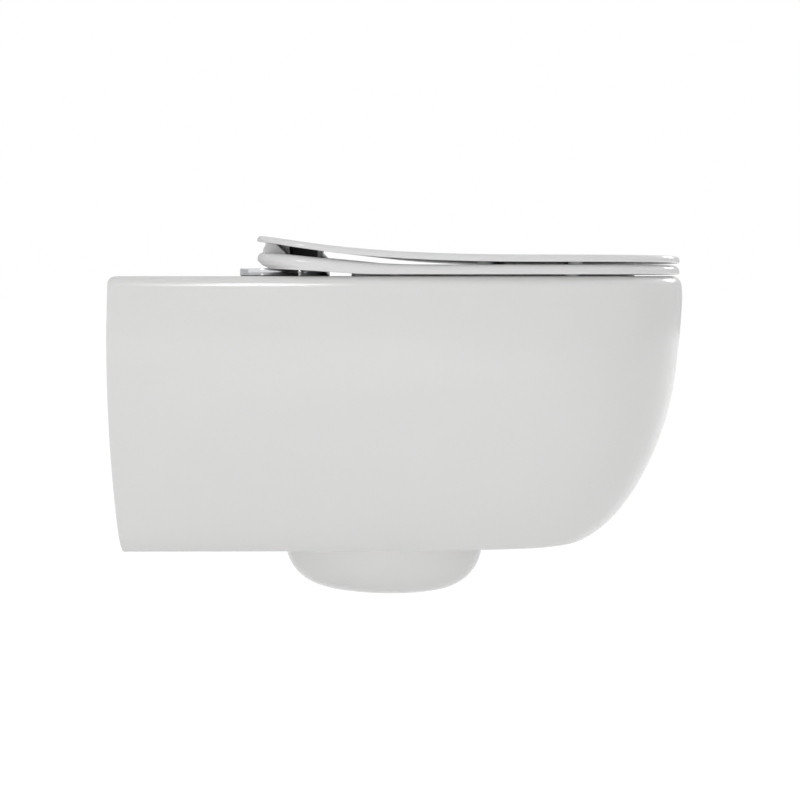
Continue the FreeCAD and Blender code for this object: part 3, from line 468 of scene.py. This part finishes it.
def combine(bm, other, operation):
    """The union, difference or intersection of two shapes."""
    parts = []
    for shape in (bm, other):
        mesh = bpy.data.meshes.new("part")
        shape.to_mesh(mesh)
        shape.free()
        part = bpy.data.objects.new("part", mesh)
        bpy.context.scene.collection.objects.link(part)
        parts.append(part)
    modifier = parts[0].modifiers.new("combine", "BOOLEAN")
    modifier.operation = operation
    modifier.solver = "EXACT"
    modifier.object = parts[1]
    graph = bpy.context.evaluated_depsgraph_get()
    result = bpy.data.meshes.new_from_object(parts[0].evaluated_get(graph))
    joined = bmesh.new()
    joined.from_mesh(result)
    bmesh.ops.remove_doubles(joined, verts=joined.verts, dist=WELD)
    for part in parts:
        mesh = part.data
        bpy.data.objects.remove(part)
        bpy.data.meshes.remove(mesh)
    bpy.data.meshes.remove(result)
    return joined


def hexagon_nut(half_flats, height, bore, pitch):
    """A nut with its corners chamfered at both faces and a threaded bore."""
    corner = half_flats * 2 / math.sqrt(3)
    block = bmesh.new()
    bmesh.ops.create_cone(block, cap_ends=True, segments=6, radius1=corner, radius2=corner,
                          depth=height, matrix=Matrix.Translation((0, 0, height / 2))
                          @ Matrix.Rotation(math.radians(30), 4, "Z"))
    # the chamfer, at 30 degrees, and a form that goes past the corners between
    face = half_flats * 0.96
    drop = (corner - face) * math.tan(math.radians(30))
    clear = corner * 1.05
    clear_drop = drop * 1.1
    limits = turned([(0, 0), (face, 0), (corner, drop), (clear, clear_drop),
                     (clear, height - clear_drop), (corner, height - drop),
                     (face, height), (0, height)], steps=60)
    block = combine(block, limits, "INTERSECT")
    # the bore: countersunk at both faces, with the thread between
    past = 1 * MM
    sink = bore + 0.5 * MM
    depth = 0.3 * MM
    lead = 0.4 * MM
    hole = [(0, -past), (sink, -past), (sink, 0)]
    hole += thread(bore + depth, depth, lead, height - lead, pitch)
    hole += [(sink, height), (sink, height + past), (0, height + past)]
    return combine(block, turned(hole, steps=48), "DIFFERENCE")


# ----------------------------------------------------------------- operators

class TOILET_OT_pan(bpy.types.Operator):
    """Glaze the ceramic pan"""
    bl_idname = "toilet.pan"
    bl_label = "Pan"

    def execute(self, context):
        carry_over("pan")
        return {"FINISHED"}


class TOILET_OT_seat_and_lid(bpy.types.Operator):
    """Finish the seat ring and the lid in polished thermoset"""
    bl_idname = "toilet.seat_and_lid"
    bl_label = "Seat and lid"

    def execute(self, context):
        carry_over("seat_ring")
        carry_over("lid")
        return {"FINISHED"}


class TOILET_OT_buffers(bpy.types.Operator):
    """Make the eight soft buffers under the seat and the lid"""
    bl_idname = "toilet.buffers"
    bl_label = "Buffers"

    def execute(self, context):
        rounding = context.scene.toilet_sizes.buffer_round
        stem = 2.5 * MM
        stem_length = 3 * MM
        for node in sorted(NODES):
            if "_buffer_" not in node:
                continue
            size = size_of(node)
            radius = size.x / 2
            foot = size.z - stem_length
            bm = turned([(0, 0), (radius, 0), (radius, foot), (stem, foot), (stem, size.z),
                         (0, size.z)], steps=48)
            soften(bm, min(rounding, foot * 0.4), segments=3)
            put(bm, upright(node))
            stand_for(bm, "soft_" + node, node)
        return {"FINISHED"}


class TOILET_OT_hinges(bpy.types.Operator):
    """Make the chrome discs and arms, and finish the pins and plates"""
    bl_idname = "toilet.hinges"
    bl_label = "Hinges"

    def execute(self, context):
        sizes = context.scene.toilet_sizes
        for side in SIDES:
            self.disc(side, sizes.disc_round)
            self.arm(side, sizes.arm_round)
            for kind in ("hinge_base_", "hinge_pin_", "hinge_gasket_"):
                carry_over(kind + side)
        return {"FINISHED"}

    def disc(self, side, rounding):
        """The hollow cap that covers the fixing, with a rounded upper edge."""
        node = "hinge_disc_" + side
        size = size_of(node)
        radius = size.x / 2
        wall = 3.6 * MM
        roof = 1.8 * MM
        bm = turned([(0, size.z - roof), (radius - wall, size.z - roof), (radius - wall, 0),
                     (radius, 0), (radius, size.z), (0, size.z)], steps=128)
        soften(bm, rounding, segments=5, only=lambda edge: all(
            vert.co.z > size.z - TOUCH and vert.co.xy.length > radius / 2 for vert in edge.verts))
        broken_edge = 0.2 * MM
        soften(bm, broken_edge, segments=2, sharper=60)
        put(bm, upright(node))
        stand_for(bm, "chrome_disc_" + side, node)

    def arm(self, side, rounding):
        """The post on the disc with the knuckle across its top."""
        node = "hinge_arm_" + side
        low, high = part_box(node)
        middle = middle_of(node)
        size = size_of(node)
        knuckle = size.y / 2
        bore = 3.05 * MM
        across = turned([(bore, 0), (knuckle, 0), (knuckle, size.x), (bore, size.x)], steps=64,
                        closed=True)
        soften(across, rounding, segments=4, only=lambda edge: all(
            vert.co.xy.length > knuckle * 0.9 for vert in edge.verts))
        axis_height = high.z - knuckle
        put(across, Matrix.Translation((low.x, middle.y, axis_height))
            @ Matrix.Rotation(math.radians(90), 4, "Y"))
        # the post ends inside the knuckle, short of the pin's bore
        post_radius = 7 * MM
        post_x = math.copysign(70 * MM, middle.x)
        rise = axis_height - low.z - 4 * MM
        foot_round = 0.5 * MM
        post = turned([(0, 0), (post_radius, 0), (post_radius, rise), (0, rise)], steps=64)
        soften(post, foot_round, segments=3,
               only=lambda edge: all(vert.co.z < TOUCH for vert in edge.verts))
        put(post, Matrix.Translation((post_x, middle.y, low.z)))
        stand_for(combine(across, post, "UNION"), "chrome_arm_" + side, node)


class TOILET_OT_clamps(bpy.types.Operator):
    """Make the bolts, plugs and nuts that clamp the hinges to the deck"""
    bl_idname = "toilet.clamps"
    bl_label = "Hinge clamps"

    def execute(self, context):
        pitch = context.scene.toilet_sizes.hinge_pitch
        for side in SIDES:
            self.bolt(side, pitch)
            self.nut(side, pitch)
            carry_over("hinge_plug_" + side)
        return {"FINISHED"}

    def bolt(self, side, pitch):
        """The M8 bolt, threaded over its lower part, its flat head in the disc."""
        node = "hinge_bolt_" + side
        size = size_of(node)
        shank = 4 * MM
        tip = 3.1 * MM
        lead = 0.8 * MM
        threaded = 20 * MM
        runout = 0.6 * MM
        head = size.x / 2
        under_head = size.z - 1.8 * MM
        profile = [(0, 0), (tip, 0)]
        profile += thread(shank, 0.55 * MM, lead, threaded, pitch)
        profile += [(shank, threaded + runout), (shank, under_head), (head, under_head),
                    (head, size.z), (0, size.z)]
        bm = turned(profile, steps=40)
        put(bm, upright(node))
        stand_for(bm, "threaded_bolt_" + side, node)

    def nut(self, side, pitch):
        """The brass nut under the rubber plug."""
        node = "hinge_nut_" + side
        size = size_of(node)
        bore = 3.7 * MM
        bm = hexagon_nut(size.x / 2, size.z, bore, pitch)
        put(bm, upright(node))
        stand_for(bm, "clamp_nut_" + side, node, sharp=20)


class TOILET_OT_cartridges(bpy.types.Operator):
    """Finish the hinge housing under the lid, the cartridges and the bushes"""
    bl_idname = "toilet.cartridges"
    bl_label = "Cartridges"

    def execute(self, context):
        for node in ("lid_hinge_housing", "seat_damper_left", "seat_bush_right",
                     "lid_bush_left", "lid_damper_right"):
            carry_over(node)
        return {"FINISHED"}


class TOILET_OT_wall_fixings(bpy.types.Operator):
    """Make the sleeves, washers and nuts that hold the pan to the wall"""
    bl_idname = "toilet.wall_fixings"
    bl_label = "Wall fixings"

    def execute(self, context):
        pitch = context.scene.toilet_sizes.stud_pitch
        for side in SIDES:
            self.sleeve(side)
            self.washer(side)
            self.nut(side, pitch)
        return {"FINISHED"}

    def sleeve(self, side):
        """The nylon sleeve that keeps the stud off the ceramic."""
        node = "fixing_sleeve_" + side
        size = size_of(node)
        bore = 6.5 * MM
        barrel = 9 * MM
        flange = 2 * MM
        bm = turned([(bore, 0), (barrel, 0), (barrel, size.y - flange),
                     (size.x / 2, size.y - flange), (size.x / 2, size.y), (bore, size.y)],
                    steps=64, closed=True)
        moulded_edge = 0.35 * MM
        soften(bm, moulded_edge, segments=2)
        put(bm, out_of_wall(node))
        stand_for(bm, "nylon_sleeve_" + side, node)

    def washer(self, side):
        """The steel washer under the nut."""
        node = "fixing_washer_" + side
        size = size_of(node)
        bore = 6.5 * MM
        bm = turned([(bore, 0), (size.x / 2, 0), (size.x / 2, size.y), (bore, size.y)],
                    steps=64, closed=True)
        pressed_edge = 0.3 * MM
        soften(bm, pressed_edge, segments=2)
        put(bm, out_of_wall(node))
        stand_for(bm, "steel_washer_" + side, node)

    def nut(self, side, pitch):
        """The M12 nut on the wall stud."""
        node = "fixing_nut_" + side
        size = size_of(node)
        bore = 5.4 * MM
        bm = hexagon_nut(size.x / 2, size.y, bore, pitch)
        put(bm, out_of_wall(node))
        stand_for(bm, "wall_nut_" + side, node, sharp=20)


class TOILET_OT_stage(bpy.types.Operator):
    """Set up the floor, the lights and the camera"""
    bl_idname = "toilet.stage"
    bl_label = "Stage"

    def execute(self, context):
        stage = context.scene.toilet_stage
        self.floor(context, stage)
        self.flags(context, stage)
        self.sky(context, stage.around)
        self.lamps(context, stage)
        self.camera(context, stage.lens)
        context.scene.view_settings.view_transform = "Standard"
        return {"FINISHED"}

    def lamps(self, context, stage):
        """Broad lamps that gloss doesn't mirror, and two that only gloss shows."""
        body = (0, -0.27, -0.05)
        deck_edge = (-0.17, -0.13, 0.08)
        self.lamp(context, "overhead_fill", stage.overhead, place=(-0.1, -0.35, 1.6),
                  target=(0, -0.3, 0), size=(1.4, 1.6), mirrored=False)
        self.lamp(context, "key_strip", stage.key, place=(-1.62, 0.30, 0.94),
                  target=deck_edge, size=(0.33, 0.55), lights=False)
        self.lamp(context, "side_fill", stage.side, place=(-2.4, 0.3, 0.1),
                  target=body, size=(1.6, 0.4), mirrored=False)
        self.lamp(context, "front_softbox", stage.front, place=(1.3, -2.1, 0.9),
                  target=body, size=(2.0, 1.6), mirrored=False)
        self.lamp(context, "front_glint", stage.glint, place=(1.7, -1.5, 0.8),
                  target=body, size=(0.6, 0.45), lights=False)
        self.lamp(context, "low_fill", stage.low, place=(-1.6, -0.25, -0.28),
                  target=body, size=(1.4, 0.3), mirrored=False)

    def set_out(self, context, bm, name, material):
        """Make a shape an object of the stage."""
        mesh = bpy.data.meshes.new(name)
        bm.to_mesh(mesh)
        bm.free()
        mesh.materials.append(material)
        made = bpy.data.objects.new(name, mesh)
        context.scene.collection.objects.link(made)
        return made

    def floor(self, context, stage):
        """A pale studio floor that stays white and still takes a soft shadow."""
        reach = 20
        glow_share = 0.88
        bm = bmesh.new()
        bmesh.ops.create_grid(bm, x_segments=8, y_segments=8, size=reach)
        put(bm, Matrix.Translation((0, 0, -stage.floor_drop)))
        material, tree, where = new_material("pale_floor")
        sweep = add(tree, "ShaderNodeTexNoise", {"Vector": where, "Scale": per_metre(400)})
        shade = add(tree, "ShaderNodeMix", {FACTOR: sweep.outputs["Fac"],
                    COLOUR_A: toned(stage.floor, 0.985), COLOUR_B: toned(stage.floor)},
                    data_type="RGBA")
        matt = add(tree, "ShaderNodeBsdfDiffuse", {"Color": shade.outputs[MIXED_COLOUR]})
        glow = add(tree, "ShaderNodeEmission", {"Strength": 1.1})
        glowing = add(tree, "ShaderNodeMath", {0: self.seen_directly(tree), 1: glow_share},
                      operation="MULTIPLY")
        mixed = add(tree, "ShaderNodeMixShader", {"Fac": glowing.outputs[0],
                    1: matt.outputs["BSDF"], 2: glow.outputs["Emission"]})
        add(tree, "ShaderNodeOutputMaterial", {"Surface": mixed.outputs["Shader"]})
        self.set_out(context, bm, "studio_floor", material)

    def seen_directly(self, tree):
        """1 for rays from the camera, from a gloss or through glass, else 0."""
        path = add(tree, "ShaderNodeLightPath")
        either = add(tree, "ShaderNodeMath", {0: path.outputs["Is Camera Ray"],
                     1: path.outputs["Is Glossy Ray"]}, operation="MAXIMUM")
        return add(tree, "ShaderNodeMath", {0: either.outputs[0],
                   1: path.outputs["Is Transmission Ray"]}, operation="MAXIMUM").outputs[0]

    def sky(self, context, strength):
        """Even light from all round, white where it is seen."""
        world = bpy.data.worlds.new("studio")
        world.use_nodes = True
        tree = world.node_tree
        tree.nodes.clear()
        light = add(tree, "ShaderNodeBackground", {"Color": (1, 1, 1, 1), "Strength": strength})
        white = add(tree, "ShaderNodeBackground", {"Color": (1, 1, 1, 1), "Strength": 1.0})
        mixed = add(tree, "ShaderNodeMixShader", {"Fac": self.seen_directly(tree),
                    1: light.outputs["Background"], 2: white.outputs["Background"]})
        add(tree, "ShaderNodeOutputWorld", {"Surface": mixed.outputs["Shader"]})
        context.scene.world = world

    def flags(self, context, stage):
        """Grey flags along the horizon, seen only as reflections.

        They keep the edges of a white piece readable against a white ground.
        """
        tall = 2.6
        away = 6
        near_side = (-1.5, 0, 0)
        bm = bmesh.new()
        bmesh.ops.create_cone(bm, cap_ends=False, segments=64, radius1=away, radius2=away,
                              depth=tall)
        put(bm, Matrix.Translation((0, 0, tall / 2 - stage.floor_drop)))
        bmesh.ops.bisect_plane(bm, geom=bm.verts[:] + bm.edges[:] + bm.faces[:],
                               plane_co=near_side, plane_no=(-1, 0, 0), clear_outer=True)
        grey = [stage.horizon] * 3
        material, tree, where = new_material("grey_card")
        weave = add(tree, "ShaderNodeTexNoise", {"Vector": where, "Scale": per_metre(900)})
        shade = add(tree, "ShaderNodeMix", {FACTOR: weave.outputs["Fac"],
                    COLOUR_A: toned(grey, 0.95), COLOUR_B: toned(grey)}, data_type="RGBA")
        card = add(tree, "ShaderNodeEmission", {"Color": shade.outputs[MIXED_COLOUR],
                   "Strength": 1.0})
        add(tree, "ShaderNodeOutputMaterial", {"Surface": card.outputs["Emission"]})
        made = self.set_out(context, bm, "grey_flags", material)
        made.visible_camera = False
        made.visible_diffuse = False
        made.visible_transmission = False
        made.visible_shadow = False

    def lamp(self, context, name, watts, place, target, size, mirrored=True, lights=True):
        """A soft rectangular lamp turned to a point.

        mirrored says that gloss shows it, and lights that it lights matt surfaces.
        """
        data = bpy.data.lights.new(name, "AREA")
        data.shape = "RECTANGLE"
        data.size, data.size_y = size
        data.energy = watts
        made = bpy.data.objects.new(name, data)
        made.location = place
        made.rotation_euler = (Vector(target) - Vector(place)).to_track_quat("-Z", "Y").to_euler()
        made.visible_camera = False
        made.visible_glossy = mirrored
        made.visible_diffuse = lights
        context.scene.collection.objects.link(made)

    def camera(self, context, lens):
        """The camera, beside the toilet, with the rim almost edge-on to it."""
        place = (-1.1452, -0.3999, 0.0783)
        looking = Vector((0.98504, 0.13333, -0.10915))
        data = bpy.data.cameras.new("camera")
        data.lens = lens
        data.sensor_width = 36
        made = bpy.data.objects.new("camera", data)
        made.location = place
        made.rotation_euler = looking.to_track_quat("-Z", "Y").to_euler()
        context.scene.collection.objects.link(made)
        context.scene.camera = made


STEPS = (TOILET_OT_pan, TOILET_OT_seat_and_lid, TOILET_OT_buffers, TOILET_OT_hinges,
         TOILET_OT_clamps, TOILET_OT_cartridges, TOILET_OT_wall_fixings, TOILET_OT_stage)


class TOILET_PT_panel(bpy.types.Panel):
    """The toilet's finishes, sizes and steps"""
    bl_idname = "TOILET_PT_panel"
    bl_label = "Wall hung toilet"
    bl_space_type = "VIEW_3D"
    bl_region_type = "UI"
    bl_category = "Toilet"

    def draw(self, context):
        for group in GROUPS:
            settings = getattr(context.scene, group)
            for name in GROUPS[group].__annotations__:
                self.layout.prop(settings, name)
        for step in STEPS:
            self.layout.operator(step.bl_idname)


GROUPS = {"toilet_finishes": ToiletFinishes, "toilet_sizes": ToiletSizes,
          "toilet_stage": ToiletStage}


def register():
    for group, kind in GROUPS.items():
        bpy.utils.register_class(kind)
        setattr(bpy.types.Scene, group, bpy.props.PointerProperty(type=kind))
    for step in STEPS:
        bpy.utils.register_class(step)
    bpy.utils.register_class(TOILET_PT_panel)


def unregister():
    bpy.utils.unregister_class(TOILET_PT_panel)
    for step in reversed(STEPS):
        bpy.utils.unregister_class(step)
    for group, kind in GROUPS.items():
        delattr(bpy.types.Scene, group)
        bpy.utils.unregister_class(kind)


def main():
    """Dress the toilet and set the stage."""
    register()
    bpy.ops.toilet.pan()
    bpy.ops.toilet.seat_and_lid()
    bpy.ops.toilet.buffers()
    bpy.ops.toilet.hinges()
    bpy.ops.toilet.clamps()
    bpy.ops.toilet.cartridges()
    bpy.ops.toilet.wall_fixings()
    bpy.ops.toilet.stage()


if __name__ == "__main__":
    main()
